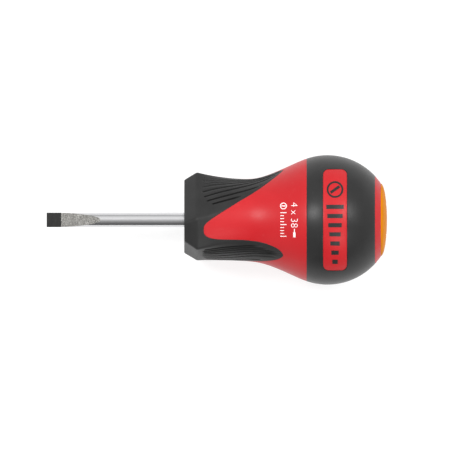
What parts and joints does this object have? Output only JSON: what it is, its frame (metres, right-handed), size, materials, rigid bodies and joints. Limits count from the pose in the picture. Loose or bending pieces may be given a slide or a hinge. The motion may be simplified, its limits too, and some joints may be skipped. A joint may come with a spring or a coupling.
{
  "type": "stubby slotted screwdriver",
  "caption": "Short flat-blade screwdriver with a waisted, ball-ended handle in hard and soft plastic, with finger pads and a coloured end cap.",
  "frame": {"origin": "centre of the flat tip's end face", "axes": "+X along the blade and handle towards the end cap, +Z out of the flat of the tip, +Y across the tip"},
  "size_m": [0.094, 0.0358, 0.0358],
  "materials": {
    "blade_steel": "satin chrome shank, blackened tip",
    "core_plastic": "hard moulded",
    "shell_plastic": "satin moulded",
    "grip_rubber": "soft matte",
    "band_rubber": "soft matte",
    "cap_plastic": "satin moulded",
    "print_ink": "printed size mark"
  },
  "bodies": {
    "root": {"blade": "blade_steel", "handle_core": "core_plastic", "handle_shell": "shell_plastic", "front_grip": "grip_rubber", "ball_band": "band_rubber", "end_cap": "cap_plastic"}
  },
  "joints": []
}
